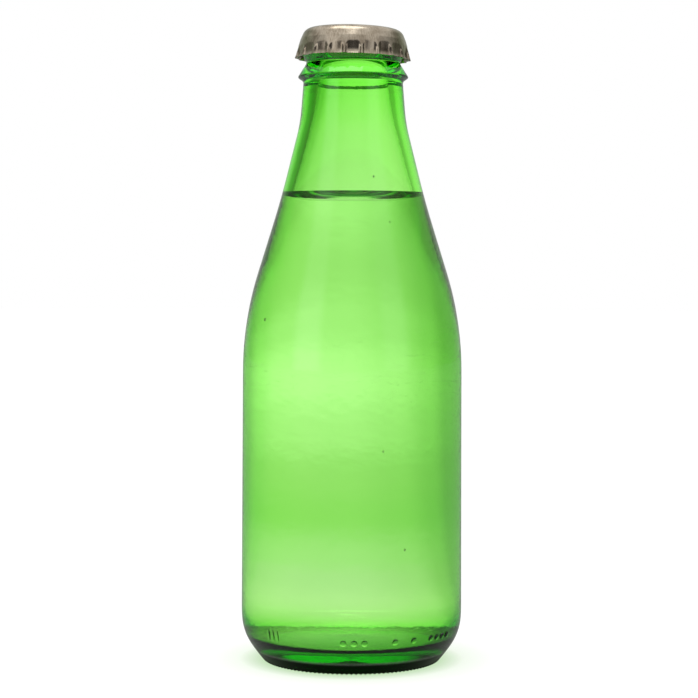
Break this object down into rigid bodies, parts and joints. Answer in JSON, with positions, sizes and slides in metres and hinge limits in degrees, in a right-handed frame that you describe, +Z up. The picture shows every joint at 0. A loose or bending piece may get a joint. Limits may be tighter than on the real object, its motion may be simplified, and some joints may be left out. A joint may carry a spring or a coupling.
{
  "type": "glass water bottle with crown cap",
  "caption": "Small green glass bottle of mineral water with a sloping shoulder, a ringed finish and a crimped metal crown cap.",
  "frame": {"origin": "centre of the ring that the bottle stands on, in the plane of the table", "axes": "+Z up along the bottle's axis, from the base to the crown; -Y faces the camera of the picture"},
  "size_m": [0.0548, 0.0548, 0.1568],
  "materials": {
    "green_glass": "gloss",
    "water": "gloss",
    "tinplate": "satin",
    "liner": "matte"
  },
  "bodies": {
    "bottle": {"glass_bottle": "green_glass", "mineral_water": "water"},
    "crown_cap": {"crown_shell": "tinplate", "crown_liner": "liner"}
  },
  "joints": [
    {"name": "crown_lift", "type": "slide", "parent": "bottle", "child": "crown_cap", "axis": [0, 0, 1], "range_m": [0, 0.04]}
  ]
}
